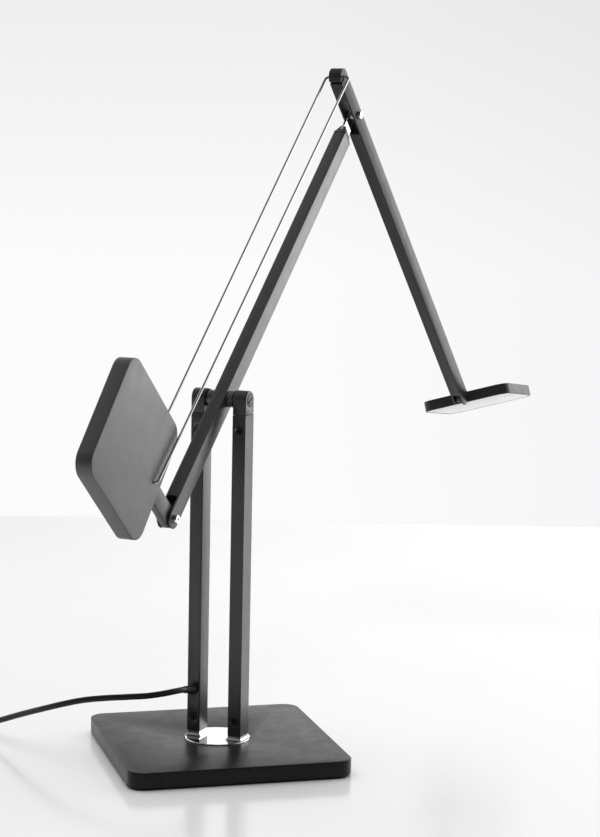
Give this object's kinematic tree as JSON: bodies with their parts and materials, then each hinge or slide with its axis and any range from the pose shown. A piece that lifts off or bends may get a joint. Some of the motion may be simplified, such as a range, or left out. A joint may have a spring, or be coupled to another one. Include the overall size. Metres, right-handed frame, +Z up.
{
  "type": "architect desk lamp",
  "caption": "Counterbalanced desk lamp: square base, swivelling twin posts, seesaw main arm, forearm with balance wire, square plate counterweight and flat square head.",
  "frame": {"origin": "centre of the base's underside, on the swivel axis", "axes": "+Z up; +X along the base's back edge, +Y from the base's front edge to its back; at rest the arms lie in the vertical plane 51 degrees from +X towards +Y"},
  "size_m": [0.9275, 0.9428, 0.7156],
  "materials": {
    "black_anodised": "black anodised aluminium, satin",
    "black_powder_coat": "fine satin black powder coat on cast iron",
    "polished_chrome": "polished chrome",
    "stainless_steel": "drawn or turned stainless steel",
    "black_steel": "black oxide steel, slightly glossy",
    "bronze": "oiled bronze, unpolished",
    "black_rubber": "matt black moulded rubber",
    "cord_jacket": "black flexible cord jacket, slightly satin",
    "opal_acrylic": "opal acrylic sheet",
    "board_white": "white solder mask on a metal-backed board",
    "flat_cable": "thin grey flat cable",
    "brass_plated": "nickel plated brass"
  },
  "bodies": {
    "base": {"base_pad": "black_rubber", "base_plate": "black_powder_coat", "swivel_bush": "bronze"},
    "stand": {"swivel_disc": "polished_chrome", "swivel_spindle": "stainless_steel", "friction_washer": "stainless_steel", "spindle_nut": "stainless_steel", "post_foot_left": "polished_chrome", "post_foot_right": "polished_chrome", "foot_screw_left": "black_steel", "foot_screw_right": "black_steel", "post_left": "black_anodised", "post_right": "black_anodised", "post_cap_left": "black_anodised", "post_cap_right": "black_anodised", "axle_screw_left": "black_steel", "axle_screw_right": "black_steel", "lower_screw_left": "black_steel", "lower_screw_right": "black_steel", "upper_screw_left": "black_steel", "upper_screw_right": "black_steel", "axle": "stainless_steel", "axle_washer_left": "black_steel", "axle_washer_right": "black_steel", "axle_spacer_left": "black_steel", "axle_spacer_right": "black_steel", "cord_grommet": "black_rubber", "cord_lead": "cord_jacket", "cord_coil": "cord_jacket", "cord_tail": "cord_jacket", "plug_body": "black_rubber", "plug_pin_left": "brass_plated", "plug_pin_right": "brass_plated"},
    "main_arm": {"main_arm": "black_anodised", "arm_hub": "bronze", "weight_pin": "polished_chrome", "weight_pin_nut": "polished_chrome", "weight_washer_left": "stainless_steel", "weight_washer_right": "stainless_steel", "elbow_block": "black_anodised", "elbow_blade": "polished_chrome", "arm_flat_cable": "flat_cable"},
    "forearm": {"forearm": "black_anodised", "forearm_plug": "black_anodised", "elbow_pin": "polished_chrome", "elbow_pin_nut": "polished_chrome", "elbow_spacer_left": "stainless_steel", "elbow_spacer_right": "stainless_steel", "head_pin": "stainless_steel", "forearm_flat_cable": "flat_cable"},
    "balance_link": {"balance_wire": "stainless_steel"},
    "counterweight": {"counterweight_plate": "black_powder_coat", "counterweight_tongue": "black_powder_coat", "tongue_screw_1": "black_steel", "tongue_screw_2": "black_steel"},
    "head_knuckle": {"head_knuckle": "black_steel"},
    "head": {"head_housing": "black_anodised", "spindle_clip": "stainless_steel", "led_board": "board_white", "head_diffuser": "opal_acrylic"}
  },
  "joints": [
    {"name": "base_swivel", "type": "hinge", "parent": "base", "child": "stand", "pos_m": [0, 0, 0], "axis": [0, 0, 1], "range_deg": [-160, 160]},
    {"name": "arm_tilt", "type": "hinge", "parent": "stand", "child": "main_arm", "pos_m": [0, 0, 0.3718], "axis": [0.7771, -0.6293, 0], "range_deg": [-16, 40]},
    {"name": "forearm_tilt", "type": "hinge", "parent": "main_arm", "child": "forearm", "pos_m": [0.21113, 0.26072, 0.66446], "axis": [0.7771, -0.6293, 0], "range_deg": [-34, 46]},
    {"name": "weight_tilt", "type": "hinge", "parent": "main_arm", "child": "counterweight", "pos_m": [-0.07607, -0.09394, 0.26636], "axis": [0.7771, -0.6293, 0], "range_deg": [-34, 46]},
    {"name": "link_tilt", "type": "hinge", "parent": "forearm", "child": "balance_link", "pos_m": [0.18209, 0.22486, 0.70587], "axis": [0.7771, -0.6293, 0], "range_deg": [-46, 34]},
    {"name": "head_tilt", "type": "hinge", "parent": "forearm", "child": "head_knuckle", "pos_m": [0.46758, 0.57742, 0.29883], "axis": [0.7771, -0.6293, 0], "range_deg": [-115, 50]},
    {"name": "head_roll", "type": "hinge", "parent": "head_knuckle", "child": "head", "pos_m": [0.46758, 0.57742, 0.29883], "axis": [0.6241, 0.7707, -0.1288], "range_deg": [-70, 100]}
  ],
  "couplings": [
    {"joint": "weight_tilt", "follows": "forearm_tilt", "ratio": 1},
    {"joint": "link_tilt", "follows": "forearm_tilt", "ratio": -1}
  ]
}
